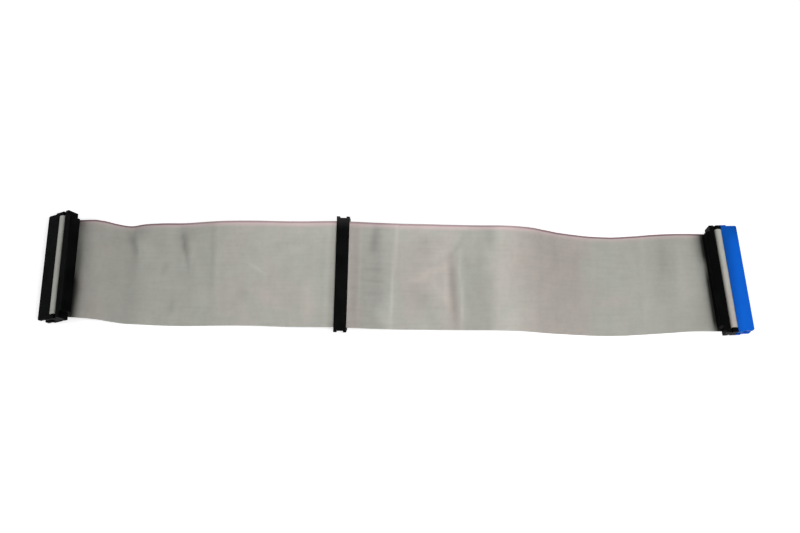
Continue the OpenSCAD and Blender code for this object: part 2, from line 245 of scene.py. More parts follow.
@dataclass
class EffectLibrary:
    """Builds each shared shader group once and places it in materials.

    The coarse grain's scale and height are shares of the fine one's, and the spots' scale is
    a multiple of the clouds'. Wear starts and is full at two cosines between a surface's own
    normal and its rounded one.
    """

    coarse_scale: float = 0.08
    coarse_height: float = 0.6
    wear_radius: float = 0.14
    wear_cosines: tuple[float, float] = (0.99, 0.86)
    wear_scale: float = 900.0
    spot_scale: float = 9.0
    groups: dict[Effect, bpy.types.NodeTree] = field(init=False)

    def __post_init__(self) -> None:
        """Builds the groups."""
        self.groups = {
            Effect.MOULD_GRAIN: self._mould_grain(),
            Effect.EDGE_WEAR: self._edge_wear(),
            Effect.MOTTLE: self._mottle(),
        }

    @staticmethod
    def _start(effect: Effect, dial: str, setting: float,
               outputs: Sequence[str]) -> tuple[Graph, bpy.types.NodeOutputs, bpy.types.NodeInputs]:
        """Starts a group whose inputs are a place on the surface and one dial.

        Args:
            effect: the effect it is for.
            dial: the dial's name.
            setting: what the dial stands at.
            outputs: names of its value outputs.

        Returns:
            The graph, what the group is given, and the sockets for its results.
        """
        tree = bpy.data.node_groups.new(effect.value, "ShaderNodeTree")
        tree.interface.new_socket("Vector", in_out="INPUT", socket_type="NodeSocketVector")
        knob = tree.interface.new_socket(dial, in_out="INPUT", socket_type="NodeSocketFloat")
        knob.default_value = setting
        for name in outputs:
            tree.interface.new_socket(name, in_out="OUTPUT", socket_type="NodeSocketFloat")
        graph = Graph(tree)
        return graph, graph.add("NodeGroupInput").outputs, graph.add("NodeGroupOutput").inputs

    def _mould_grain(self) -> bpy.types.NodeTree:
        """Fine eroded texture of a mould.

        Returns:
            A group that puts out a height, and a mask for roughness.
        """
        dial = "Grains per metre"
        graph, given, result = self._start(Effect.MOULD_GRAIN, dial, 5000, ["Height", "Mask"])
        fine = graph.noise(given["Vector"], given[dial], 3.0, 0.6)
        coarse = graph.noise(given["Vector"], graph.math("MULTIPLY", given[dial], self.coarse_scale), 2.0)
        height = graph.math("ADD", fine, graph.math("MULTIPLY", coarse, self.coarse_height))
        graph.feed(result["Height"], height)
        graph.feed(result["Mask"], graph.ramp(coarse, 0.35, 0.65))
        return graph.tree

    def _edge_wear(self) -> bpy.types.NodeTree:
        """Wear of outer edges, broken up by noise.

        Returns:
            A group that puts out a mask.
        """
        graph, given, result = self._start(Effect.EDGE_WEAR, "Amount", 0.5, ["Mask"])
        flat = graph.add("ShaderNodeNewGeometry").outputs["Normal"]
        rounded = graph.add("ShaderNodeBevel", {"Radius": self.wear_radius * MM}, samples=6).outputs[0]
        straight = graph.add("ShaderNodeVectorMath", {0: flat, 1: rounded}, operation="DOT_PRODUCT")
        noise = graph.noise(given["Vector"], self.wear_scale, 4.0)
        worn = graph.ramp(straight.outputs["Value"], *self.wear_cosines)
        edge = graph.math("MULTIPLY", worn, graph.ramp(noise, 0.3, 0.7))
        graph.feed(result["Mask"], graph.math("MULTIPLY", edge, given["Amount"]))
        return graph.tree

    def _mottle(self) -> bpy.types.NodeTree:
        """Uneven colour and handling marks.

        Returns:
            A group that puts out a broad cloudy mask and a finer spotted one.
        """
        dial = "Clouds per metre"
        graph, given, result = self._start(Effect.MOTTLE, dial, 60, ["Clouds", "Spots"])
        clouds = graph.noise(given["Vector"], given[dial], 2.0)
        spots = graph.noise(given["Vector"], graph.math("MULTIPLY", given[dial], self.spot_scale), 5.0)
        graph.feed(result["Clouds"], graph.ramp(clouds, 0.36, 0.64))
        graph.feed(result["Spots"], graph.ramp(spots, 0.45, 0.75))
        return graph.tree

    def place(self, graph: Graph, effect: Effect, vector: bpy.types.NodeSocket,
              dial: float) -> bpy.types.NodeOutputs:
        """Places a shared group in a material.

        Args:
            graph: the material's graph.
            effect: which group.
            vector: the place on the surface.
            dial: setting of its dial.

        Returns:
            The group node's outputs.
        """
        return graph.add("ShaderNodeGroup", {0: vector, 1: dial}, node_tree=self.groups[effect]).outputs


# ---- Finishes ----


def new_material(name: str) -> tuple[bpy.types.Material, Graph, bpy.types.Node]:
    """Starts a material.

    Args:
        name: the material's name.

    Returns:
        The material, its graph and its Principled BSDF.
    """
    material = bpy.data.materials.new(name)
    graph = clean_graph(material)
    shader = graph.add("ShaderNodeBsdfPrincipled")
    graph.add("ShaderNodeOutputMaterial", {"Surface": shader.outputs[0]})
    return material, graph, shader


@dataclass(frozen=True)
class Fade:
    """A colour laid on along one axis, full at start and gone at stop. The fades paint a reflection on one
    black and shade on the blue.
    """

    axis: int
    start: float
    stop: float
    colour: Colour


@dataclass(frozen=True)
class MouldedPlastic:
    """Filled plastic out of a mould, with softened and slightly worn edges.

    The clouds are patches that lean to the worn colour by cloud_wear. The gloss fields are
    changes of roughness.
    """

    name: str
    colour: Colour
    worn: Colour
    roughness: float = 0.5
    specular: float = 0.3
    fades: tuple[Fade, ...] = ()
    edge_radius: float = 0.12
    edge_wear: float = 0.6
    grain_scale: float = 5200.0
    grain_depth: float = 0.012
    grain_strength: float = 0.35
    grain_gloss: tuple[float, float] = (-0.05, 0.06)
    cloud_scale: float = 90.0
    cloud_share: float = 0.35
    cloud_wear: float = 0.3
    spot_gloss: float = 0.07

    def material(self, effects: EffectLibrary) -> bpy.types.Material:
        """Builds the finish.

        Args:
            effects: the shared shader groups.

        Returns:
            The material.
        """
        material, graph, shader = new_material(self.name)
        place = graph.add("ShaderNodeTexCoord").outputs["Object"]
        grain = effects.place(graph, Effect.MOULD_GRAIN, place, self.grain_scale)
        wear = effects.place(graph, Effect.EDGE_WEAR, place, self.edge_wear)
        marks = effects.place(graph, Effect.MOTTLE, place, self.cloud_scale)
        kept = 1 - self.cloud_wear
        uneven = [kept * c + self.cloud_wear * w for c, w in zip(self.colour, self.worn)]
        clouds = graph.math("MULTIPLY", marks["Clouds"], self.cloud_share)
        tone = graph.mix(clouds, rgba(self.colour), rgba(uneven))
        tone = graph.mix(wear["Mask"], tone, rgba(self.worn))
        # Fades lay painted reflection and painted shade on the colour along an axis.
        for fade in self.fades:
            level = graph.add("ShaderNodeSeparateXYZ", {0: place}).outputs[fade.axis]
            share = graph.ramp(level, fade.start * MM, fade.stop * MM, 1.0, 0.0)
            tone = graph.mix(share, tone, rgba(fade.colour))
        graph.feed(shader.inputs["Base Color"], tone)
        gloss = graph.ramp(grain["Mask"], 0.0, 1.0, *(self.roughness + g for g in self.grain_gloss))
        spots = graph.math("MULTIPLY", marks["Spots"], self.spot_gloss)
        graph.feed(shader.inputs["Roughness"], graph.math("ADD", gloss, spots))
        rounded = graph.add("ShaderNodeBevel", {"Radius": self.edge_radius * MM}, samples=8).outputs[0]
        bump = graph.bump(grain["Height"], self.grain_strength, self.grain_depth, Normal=rounded)
        graph.feed(shader.inputs["Normal"], bump)
        shader.inputs["Specular IOR Level"].default_value = self.specular
        return material


@dataclass(frozen=True)
class StampedMetal:
    """Sheet metal punched from a strip, with fine grain, clouds of tarnish and a thin plating."""

    name: str
    colour: Colour
    tarnish: Colour
    roughness: float = 0.28
    spot_gloss: float = 0.16
    cloud_scale: float = 420.0
    cloud_share: float = 0.45
    grain_scale: float = 9000.0
    grain_depth: float = 0.004
    grain_strength: float = 0.2

    def material(self, effects: EffectLibrary) -> bpy.types.Material:
        """Builds the finish.

        Args:
            effects: the shared shader groups.

        Returns:
            The material.
        """
        material, graph, shader = new_material(self.name)
        place = graph.add("ShaderNodeTexCoord").outputs["Object"]
        marks = effects.place(graph, Effect.MOTTLE, place, self.cloud_scale)
        grain = effects.place(graph, Effect.MOULD_GRAIN, place, self.grain_scale)
        clouds = graph.math("MULTIPLY", marks["Clouds"], self.cloud_share)
        graph.feed(shader.inputs["Base Color"], graph.mix(clouds, rgba(self.colour), rgba(self.tarnish)))
        dull = self.roughness + self.spot_gloss
        graph.feed(shader.inputs["Roughness"], graph.ramp(marks["Spots"], 0.0, 1.0, self.roughness, dull))
        bump = graph.bump(grain["Height"], self.grain_strength, self.grain_depth)
        graph.feed(shader.inputs["Normal"], bump)
        shader.inputs["Metallic"].default_value = 1.0
        return material


class Trace(Enum):
    """Attributes of the ribbon's mesh that its insulation reads."""

    PAINTED_LIGHT_AND_SHADE = "painted_light_and_shade"
    YELLOWING = "yellowing"
    STRIPE = "stripe"
    EDGE_LINE = "edge_line"


@dataclass(frozen=True)
class RibbonInsulation:
    """Soft grey insulation with a rose stripe, read from the ribbon's own map.

    The map's first coordinate is the distance along the ribbon and its second the distance
    across it from the plain edge, both in metres. Four attributes say where light and shade
    are painted on the insulation, where it has yellowed, and how strong the stripe and the
    dark line at its edge are.

    A share says how much of an effect shows. Pairs of scales are along and across the
    ribbon, and the fades are distances from the striped edge where the ink is full and gone.
    """

    name: str = "ribbon_insulation"
    cool: Colour = (0.431, 0.436, 0.392)
    warm: Colour = (0.463, 0.421, 0.387)
    rose: Colour = (0.65, 0.5, 0.505)
    rose_edge: Colour = (0.2, 0.105, 0.125)
    web_shade: Colour = (0.22, 0.22, 0.205)
    dust: Colour = (0.29, 0.28, 0.25)
    ribbon: RibbonSizes = RibbonSizes()
    stripe_fade: tuple[float, float] = (0.7, 3.4)
    stripe_share: float = 0.8
    line_fade: tuple[float, float] = (0.45, 1.25)
    line_share: float = 0.95
    wander: float = 0.3
    web_share: float = 0.16
    web_reach: tuple[float, float] = (0.33, 0.5)
    cloud_scale: float = 55.0
    cloud_warmth: float = 0.4
    cloud_stretch: float = 0.8
    patch_scale: float = 190.0
    patch_share: float = 0.13
    patch_stretch: float = 0.6
    soil_share: float = 0.14
    streak_scale: tuple[float, float] = (60.0, 620.0)
    streak_share: float = 0.12
    roughness: float = 0.46
    streak_gloss: tuple[float, float] = (-0.05, 0.09)
    ripple_scale: tuple[float, float] = (230.0, 700.0)
    ripple_depth: float = 0.08
    ripple_strength: float = 0.4
    specular: float = 0.22

    @staticmethod
    def _stretched(graph: Graph, lay: bpy.types.NodeSocket, along: float,
                   across: float) -> bpy.types.NodeSocket:
        """The map with its two directions scaled."""
        return graph.add("ShaderNodeMapping", {"Vector": lay, "Scale": (along, across, 1.0)}).outputs[0]

    @staticmethod
    def _trace(graph: Graph, trace: Trace) -> bpy.types.NodeSocket:
        """The value of one of the ribbon's attributes."""
        return graph.add("ShaderNodeAttribute", attribute_name=trace.value).outputs["Fac"]

    def _grey(self, graph: Graph, effects: EffectLibrary, lay: bpy.types.NodeSocket,
              across: bpy.types.NodeSocket, streaks: bpy.types.NodeSocket) -> bpy.types.NodeSocket:
        """Colour of the insulation itself.

        Args:
            graph: the material's graph.
            effects: the shared shader groups.
            lay: the ribbon's map.
            across: its second coordinate.
            streaks: the streaks' noise.

        Returns:
            The colour.
        """
        uneven = self._stretched(graph, lay, 1.0, self.cloud_stretch)
        clouds = effects.place(graph, Effect.MOTTLE, uneven, self.cloud_scale)
        patchy = self._stretched(graph, lay, 1.0, self.patch_stretch)
        patches = effects.place(graph, Effect.MOTTLE, patchy, self.patch_scale)
        mild = graph.math("MULTIPLY", clouds["Clouds"], self.cloud_warmth)
        warmth = graph.math("ADD", self._trace(graph, Trace.YELLOWING), mild)
        tone = graph.mix(graph.ramp(warmth, 0.0, 1.2), rgba(self.cool), rgba(self.warm))
        tone = graph.mix(graph.ramp(streaks, 0.35, 0.75, 0.0, self.streak_share), tone, rgba(self.dust))
        # The webs between the conductors get painted shade, as grooves between the ribs.
        phase = graph.math("FRACT", graph.math("DIVIDE", across, self.ribbon.pitch * MM))
        off = graph.math("ABSOLUTE", graph.math("SUBTRACT", phase, 0.5))
        tone = graph.mix(graph.ramp(off, *self.web_reach, 0.0, self.web_share), tone, rgba(self.web_shade))
        patch = graph.math("MULTIPLY", patches["Clouds"], self.patch_share)
        tone = graph.mix(patch, tone, rgba(self.dust))
        return graph.mix(graph.math("MULTIPLY", clouds["Spots"], self.soil_share), tone, rgba(self.dust))

    def _striped(self, graph: Graph, tone: bpy.types.NodeSocket, across: bpy.types.NodeSocket,
                 streaks: bpy.types.NodeSocket) -> bpy.types.NodeSocket:
        """Adds the stripe and the line at its edge.

        Args:
            graph: the material's graph.
            tone: the insulation's colour.
            across: the map's second coordinate.
            streaks: the streaks' noise.

        Returns:
            The colour.
        """
        wander = graph.math("MULTIPLY", graph.math("SUBTRACT", streaks, 0.5), self.wander * MM)
        from_edge = graph.math("ADD", graph.math("SUBTRACT", self.ribbon.width * MM, across), wander)
        for (near, far), share, trace, colour in (
            (self.stripe_fade, self.stripe_share, Trace.STRIPE, self.rose),
            (self.line_fade, self.line_share, Trace.EDGE_LINE, self.rose_edge),
        ):
            ink = graph.ramp(from_edge, near * MM, far * MM, share, 0.0)
            tone = graph.mix(graph.math("MULTIPLY", ink, self._trace(graph, trace)), tone, rgba(colour))
        return tone

    def material(self, effects: EffectLibrary) -> bpy.types.Material:
        """Builds the finish.

        Args:
            effects: the shared shader groups.

        Returns:
            The material.
        """
        material, graph, shader = new_material(self.name)
        lay = graph.add("ShaderNodeUVMap", uv_map="lay").outputs[0]
        split = graph.add("ShaderNodeSeparateXYZ", {0: lay})
        along, across = split.outputs[0], split.outputs[1]
        streaks = graph.noise(self._stretched(graph, lay, *self.streak_scale), 1.0, 3.0)
        tone = self._striped(graph, self._grey(graph, effects, lay, across, streaks), across, streaks)
        # The colour is scaled by the painted light and shade.
        shade = self._trace(graph, Trace.PAINTED_LIGHT_AND_SHADE)
        tone = graph.add("ShaderNodeVectorMath", {0: tone, 3: shade}, operation="SCALE").outputs[0]
        graph.feed(shader.inputs["Base Color"], tone)
        rough = graph.ramp(streaks, 0.3, 0.7, *(self.roughness + g for g in self.streak_gloss))
        graph.feed(shader.inputs["Roughness"], rough)
        spread = graph.add("ShaderNodeCombineXYZ", {
            0: graph.math("MULTIPLY", along, self.ripple_scale[0]),
            1: graph.math("MULTIPLY", across, self.ripple_scale[1]),
        }).outputs[0]
        bump = graph.bump(graph.noise(spread, 1.0, 3.0), self.ripple_strength, self.ripple_depth)
        graph.feed(shader.inputs["Normal"], bump)
        shader.inputs["Specular IOR Level"].default_value = self.specular
        return material


BLACK = MouldedPlastic("black_plastic", (0.0005, 0.0006, 0.0007), (0.014, 0.015, 0.016), specular=0.024)
# A black whose far end, towards +y, gets a painted reflection: a lighter grey laid on its colour.
BLACK_PAINTED_REFLECTION = MouldedPlastic(
    "black_plastic_painted_reflection", BLACK.colour, BLACK.worn, specular=BLACK.specular,
    fades=(Fade(1, 24.0, 16.0, (0.026, 0.0255, 0.026)),),
)
# The blue's fades are painted shade: darker towards the ribbon that wraps its cover and towards the far end.
BLUE = MouldedPlastic(
    "blue_plastic", (0.001, 0.122, 0.68), (0.01, 0.2, 0.78), roughness=0.46, specular=0.06,
    fades=(Fade(0, 162.0, 169.5, (0.001, 0.068, 0.36)), Fade(1, 29.0, 19.0, (0.001, 0.09, 0.46))),
)
GOLD = StampedMetal("gold_plating", (0.86, 0.62, 0.24), (0.62, 0.4, 0.16))
TIN = StampedMetal("tin_plating", (0.72, 0.7, 0.66), (0.5, 0.47, 0.42), roughness=0.34)
COPPER = StampedMetal("copper_strand", (0.93, 0.5, 0.3), (0.6, 0.27, 0.16), roughness=0.3)
INSULATION = RibbonInsulation()


# ---- Sockets ----


@dataclass(frozen=True)
class Socket:
    """A socket's place in the row frame, and the finishes of its pieces.

    The socket frame is u across, v along with position 1 at +v, and w from the mating face.
    Its origin is the middle of that face, and its turns are about x, y and z in degrees.
    """

    name: str
    origin: tuple[float, float, float]
    turn: tuple[float, float, float]
    housing: MouldedPlastic
    cover: MouldedPlastic
    clamped: bool = True
    sizes: SocketSizes = SocketSizes()

    def matrix(self) -> Matrix:
        """The turn and place of the socket frame, in millimetres."""
        turn = Euler([math.radians(a) for a in self.turn], "XYZ").to_matrix().to_4x4()
        return Matrix.Translation(self.origin) @ turn

    def dress(self, materials: dict[str, bpy.types.Material]) -> None:
        """Gives each CAD piece of the socket its finish.

        Args:
            materials: finish name to material.
        """
        finishes = {
            "housing": self.housing, "cover": self.cover,
            "contacts_a": GOLD, "contacts_b": GOLD, "ground_bar": TIN,
        }
        if self.clamped:
            finishes["clamp"] = BLACK
        for piece, finish in finishes.items():
            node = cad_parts[f"{self.name}_{piece}"]
            node.data.materials.clear()
            node.data.materials.append(materials[finish.name])
            log.info("%s_%s: finish %s", self.name, piece, finish.name)


def sockets() -> dict[str, Socket]:
    """Places the sockets: the outer two lie on a long side, and the middle one stands on one end.

    Returns:
        Name to socket.
    """
    s = SocketSizes()
    end_lift, host_lift, middle_lean = 30, 2, 19
    end, host, lean = (math.radians(a) for a in (end_lift, host_lift, middle_lean))
    from_end = s.length / 2 - s.step - s.corner
    end_z = s.half * math.cos(end)
    middle_z = from_end * math.sin(lean) + s.corner * (1 - math.cos(lean))
    host_z = (s.half + s.key) * math.cos(host)
    return {
        "end": Socket("end", (-170, 2.1, end_z), (0, 90 - end_lift, 2), BLACK, BLACK),
        "middle": Socket(
            "middle", (-24.5, -0.35, middle_z), (middle_lean, 0, -1), BLACK, BLACK_PAINTED_REFLECTION, clamped=False
        ),
        "host": Socket("host", (172, 2.1, host_z), (0, host_lift - 90, 3.5), BLUE, BLACK),
    }


# ---- Ribbon ----


@dataclass(frozen=True)
class Wave:
    """A sine wave over the ribbon, which moves on by a radian in each pace."""

    height: float
    pace: float
    start: float = 0.0

    def at(self, place: np.ndarray, slant: np.ndarray | float = 0.0) -> np.ndarray:
        """The wave at places, each moved on by its slant in radians."""
        return self.height * np.sin(place / self.pace + (self.start + slant))


@dataclass(frozen=True)
class Fold:
    """A soft crease, ridge or dent of the ribbon, with painted light and shade and yellowing on its
    insulation.

    Args:
        x: where its middle is along the cable.
        v: where its middle is across the ribbon.
        long: half length along its own line.
        wide: half width across its line.
        turn: degrees from straight across the ribbon.
        rise: height, below zero for a dip.
        tone: painted light, below zero painted shade.
        warmth: yellowing.
    """

    x: float
    v: float
    long: float
    wide: float
    turn: float
    rise: float
    tone: float = 0.0
    warmth: float = 0.0

    @property
    def reach(self) -> float:
        """How far the fold reaches along the cable to either side of its middle."""
        return self.long * abs(math.sin(math.radians(self.turn))) + 2 * self.wide

    def weight(self, x: np.ndarray, v: np.ndarray) -> np.ndarray:
        """How strongly the fold acts at points of the ribbon.

        Args:
            x: places along the cable.
            v: places across the ribbon.

        Returns:
            One in the fold's middle, falling to zero round it.
        """
        turn = math.radians(self.turn)
        dx, dv = x - self.x, v - self.v
        across = dx * math.cos(turn) - dv * math.sin(turn)
        line = dx * math.sin(turn) + dv * math.cos(turn)
        return np.exp(-(across / self.wide) ** 2 - (line / self.long) ** 4)


@dataclass
class Ribbon:
    """The ribbon: a lofted strip with one rib for each conductor on both faces.

    A run's stations are (x, y, z, tilt, turn), and it already points a socket's way at lead
    from it. A rib's crest is a half width as a share of the pitch, and the points of a
    rounded edge are (distance from it, share of half the thickness). The rings lie closer by
    fold_detail at folds of less than the half width narrow, and near the clamps.

    Folds don't lift the ribbon in the held stretches, and fade over the length settle beside
    them. Round a cover the insulation's painted light gains wrap_light and loses wrap_dark,
    and under a clamp only the tucked share of wrap_light is left, so that shade is painted
    there. The tint yellows the host socket's wrap. Strengths are (x, strength), and bands
    (x, painted light and shade, yellowing), whose edges waver and flutter across the ribbon.
    """

    places: dict[str, Socket]
    sizes: RibbonSizes = RibbonSizes()
    socket: SocketSizes = SocketSizes()
    end_bend: float = 4.0
    lead: float = 10.0
    web_depth: float = 0.13
    crest: float = 0.2
    edge_round: Table = ((0.0, 0.2), (0.05, 0.62))
    straight_steps: int = 4
    arc_steps: int = 5
    run_steps: int = 24
    free_rings: int = 150
    narrow: float = 2.0
    fold_detail: float = 2.6
    clamp_exit: float = 156.0
    clamp_reach: float = 5.0
    held: Table = ((-500, -152), (-31, -18), (149, 500))
    settle: float = 5.0
    ripple: Wave = Wave(0.1, 2.3)
    swell: Wave = Wave(1.0, 17.0, 1.3)
    ripple_slant: float = 0.03
    waver: Wave = Wave(1.1, 8.5, 0.7)
    flutter: Wave = Wave(0.5, 3.1)
    flutter_drift: float = 9.0
    tint: Wave = Wave(0.2, 2.1)
    tint_level: float = 0.3
    tint_fall: float = 60.0
    wrap_light: float = 0.75
    wrap_dark: float = 0.6
    tucked: float = 0.25
    darkest: float = 0.04
    stripe_strength: Table = ((-150, 0.7), (-110, 0.8), (-60, 1.0), (60, 1.0), (90, 0.8))
    line_strength: Table = ((-108, 1.0), (-98, 0.6), (60, 0.6), (80, 1.0))
    end_run: Table = (
        (-146, 2.3, 4.3, 3, 1.5), (-138, 1.5, 2.7, 2, 1), (-131, 0.8, 1.6, 2, 0.5),
        (-123, 0.4, 3.3, 6, 0), (-113, -0.2, 5, 10, 0), (-102, -0.6, 6.4, 13, 0),
        (-91, -0.8, 8.2, 17, 0), (-80, -1.1, 10.2, 19.5, 0), (-68, -1.4, 11.5, 20, 0),
        (-56, -2, 12.8, 20, -0.5), (-45, -2.5, 14.1, 19.5, -1),
    )
    host_run: Table = (
        (-10, -3.2, 15.5, 19, -1), (3, -3, 14.1, 19.5, -1), (16, -2.5, 12.8, 19.5, -0.5),
        (29, -2.2, 11.8, 20, 0), (42, -1.8, 10.8, 20, 0), (54, -1.5, 10.3, 20, 0),
        (65, -1.4, 8.8, 17, 0), (75, -1.4, 6.2, 12, 0), (85, -1.4, 3.5, 6.5, 0),
        (96, -1.7, 1.9, 3, 0), (108, -1.7, 1.4, 1.5, 0), (120, -1, 1.6, 1.5, 0.5),
        (132, 0, 1.8, 2, 1.5), (145, 1.1, 1.2, 0.5, 2.5),
    )
    # The folds' tones are painted light and shade along their creases, ridges and swells.
    folds: tuple[Fold, ...] = (
        # Between end and middle socket
        Fold(-129.2, 15, 6, 1.8, -20, -0.45, -0.22), Fold(-126, 12, 9, 2.4, -18, 0.3, 0.12),
        Fold(-131.5, 20, 4, 2.6, -10, -0.1, -0.04), Fold(-124.5, 17, 6, 4, -10, 0, 0.08),
        Fold(-136.5, 25, 9, 8, 0, -1.7), Fold(-100, 25, 8, 9, 0, -1.2),
        Fold(-103.2, 16.5, 6.5, 2.3, -10, -0.45, -0.19), Fold(-101.6, 10, 9, 0.9, -13, -0.3, -0.18),
        Fold(-103.5, 20, 4, 3.6, 0, -0.1, -0.04), Fold(-93, 17, 6, 3, 0, 0, 0.08),
        Fold(-98, 10, 11, 2.2, -12, 0.3, 0.06), Fold(-112, 2.5, 3.5, 1.5, 20, -0.2, -0.12),
        Fold(-107.6, -16, 4, 1.5, 10, -0.2, -0.12), Fold(-88.5, 8, 16, 1.4, 2, -0.3, -0.08),
        Fold(-85.5, 4, 20, 1.6, 0, 0.25, 0.03), Fold(-66, 2.5, 5, 0.8, -58, 0.2, 0.13),
        Fold(-60, -12, 9, 3, -60, 0.2, 0.04, 0.5), Fold(-74, -12, 5, 2.2, 30, -0.2, -0.1, 0.3),
        Fold(-91, -12, 5, 4, 20, 0.15, 0.06), Fold(-118, 8, 9, 4, -40, 0.2, 0.05),
        Fold(-40, -12, 11, 2.6, 0, 0.1, 0.09, 0.5), Fold(-52, 15, 9, 1.6, 80, -0.15, -0.06),
        Fold(-60, 6, 12, 2.5, 70, 0.15, 0.05), Fold(-31, 0, 27, 0.7, 0, 0, 0.1),
        # A painted pale band of light and two swells along the striped edge
        Fold(-10, 22, 60, 9, 90, 0, 0.09), Fold(0, 26, 9, 18, 0, 1.4), Fold(79, 25, 9, 9, 0, -1.2),
        # Beside the middle socket
        Fold(-15.6, 0, 27, 0.7, 0, 0.15, 0.12), Fold(-9.3, 17.5, 6.5, 2.2, 4, -0.45, -0.23),
        Fold(-13.5, 20, 6, 2, 0, 0, 0.05), Fold(-8, -2, 15, 2.6, 3, -0.25, -0.06),
        Fold(-9.5, 3, 5, 1, 88, 0, -0.07), Fold(-9, -2.5, 5, 1, 93, 0, -0.07),
        Fold(-9.5, -8.5, 4, 1.1, 87, 0, -0.06), Fold(-20, -6, 3, 1, 85, 0, -0.07),
        Fold(0.1, 0, 30, 0.9, 2, 0.35, 0.17), Fold(-4.5, -20, 6, 2.6, -30, 0.2, 0.14),
        Fold(-1, -17, 8, 3, 0, 0, 0.08), Fold(8.5, -10, 13, 4.5, 0, 0.15, -0.01, 0.6),
        # The crumpled stretch and its long crease
        Fold(14.5, 15.5, 5, 3, 30, -0.2, -0.12), Fold(17, 1.5, 11, 2, 64, 0.3, 0.12, 0.3),
        Fold(16, -14, 11, 2.4, -24, -0.25, -0.12), Fold(22, -6, 9, 2.2, -40, 0.25, 0.1, 0.2),
        Fold(20, 9, 8, 2, 50, 0.2, 0.07), Fold(29.4, -7, 17, 2.1, -5, -0.5, -0.26, 0.9),
        Fold(31.5, 15.5, 6.5, 1.4, 32, -0.35, -0.11), Fold(39, 17, 9, 3, 0, 0, 0.08),
        Fold(26, -4, 14, 1.5, -4, 0.3, 0.1, 0.3), Fold(33, -8, 17, 0.7, -3, 0.3, 0.15),
        Fold(41.5, 0, 40, 3.4, -6, -0.35, -0.02, -0.3), Fold(45, 14, 9, 2.4, -4, 0, -0.06),
        Fold(14, -21, 6, 7, 0, 0, 0.07),
        # Towards the host socket
        Fold(53, 0, 40, 4, 0, 0.4, 0.04), Fold(62, -19, 8, 6, 30, 0.1, 0.07),
        Fold(72, 0, 40, 1.4, 2, -0.15, -0.03, 0.2), Fold(80, 0, 40, 1.6, 0, -0.15, -0.03, 0.2),
        Fold(90, 12, 6, 3, 20, 0, -0.03, 0.5), Fold(88, 22, 6, 16, 0, 0, 0.06),
        Fold(99, 8, 5, 3, 30, 0.15, 0.04), Fold(108, -8, 6, 3, 50, 0.15, 0.04, 0.5),
        Fold(124.5, 0, 30, 1.6, 0, 0.25, 0.04), Fold(121, 0, 30, 1.2, 0, -0.15, -0.03),
        Fold(135, 12, 9, 4.5, -5, -0.3, -0.11), Fold(142, 2, 20, 2, -3, 0.2, 0.05),
        Fold(149, -19, 10, 5, 0, 0, -0.09),
        # Painted shadows at the clamps, and painted shadow and painted light on both sides of the middle
        # socket
        Fold(156.6, 19, 9, 3.8, -4, 0, -0.55), Fold(157, 11, 9, 2.6, -4, 0, -0.3),
        Fold(158.3, 0, 40, 2, -3, 0, -1.1), Fold(156.6, -11, 16.5, 1.9, 0, 0, -1.6),
        Fold(-155.4, -9, 19, 2.2, 2, 0, -0.38), Fold(-21.2, 0, 30, 1.3, 0, 0, 0.3),
        Fold(-28.5, -14, 14, 2, 0, 0, -0.12),
    )
    # Painted light and shade along the cable, darkest as painted shadow at the clamps, with yellowing.
    bands: Table = (
        (-158.8, -0.9, 0.2), (-157.8, -0.83, 0.2), (-156.8, -0.69, 0.2), (-155.8, -0.5, 0.2),
        (-154.5, -0.3, 0.3), (-152.5, -0.12, 0.3), (-145, -0.04, 0.3), (-139, -0.08, 0.1),
        (-133, -0.09, 0), (-128, -0.06, 0), (-121, 0.06, 0), (-108, 0.03, 0), (-90, 0.01, 0),
        (-86, 0.08, 0.1), (-58, 0.09, 0.2), (-40, 0.07, 0.1), (-33, 0.03, 0), (-29, 0.02, 0),
        (-22, -0.22, 0.9), (-17, -0.2, 0.8), (-14.5, -0.18, 0), (-6, -0.17, 0), (-1, -0.07, 0),
        (2, -0.05, 0.1), (14, -0.02, 0.3), (27, 0.02, 0.4), (34, -0.01, 0), (36, -0.11, -0.2),
        (46.5, -0.11, -0.2), (48, 0.07, 0.1), (58, 0.1, 0.4), (65, 0, 0.7), (77, -0.08, 0.9),
        (92, -0.08, 0.9), (96, -0.03, 0.2), (107, 0, 0.1), (121, 0.02, 0), (129, -0.01, 0),
        (134, -0.06, 0.1), (144, 0.02, 0), (150, 0.03, 0), (156, 0.06, 0), (160, -0.1, 0.1),
    )

    @staticmethod
    def _arc(u: float, w: float, radius: float, start: float, stop: float, steps: int) -> list[list[float]]:
        """Points of a bend about (u, w), from one angle to another in degrees."""
        angles = np.radians(np.linspace(start, stop, steps + 1))
        return [[u - radius * math.sin(a), w - radius * math.cos(a)] for a in angles]

    def _socket_path(self, bend: float, turn: float) -> list[list[float]]:
        """Centre line inside an end socket, as (u, w) from the cut end to the exit.

        Args:
            bend: path radius at the exit.
            turn: degrees by which the ribbon turns there.

        Returns:
            Points in millimetres.
        """
        s, half_t = self.socket, self.sizes.thickness / 2
        level = s.housing + self.sizes.thickness
        top = level + s.cover
        side, wrap, out = s.wrap - s.half, s.wrap + half_t, s.half - s.clamp_edge
        points = self.straight_steps + 1
        crimp = [[u, s.crimp] for u in np.linspace(s.half - self.sizes.cut_back, side, points)[:-1]]
        flat = [[u, top + half_t] for u in np.linspace(side, out, points)[1:-1]]
        return (
            crimp
            + self._arc(side, level + s.wrap, wrap, 0, 90, self.arc_steps)
            + self._arc(side, top - s.wrap, wrap, 90, 180, self.arc_steps)
            + flat
            + self._arc(out, top + half_t + bend, bend, 0, -turn, self.arc_steps)
        )

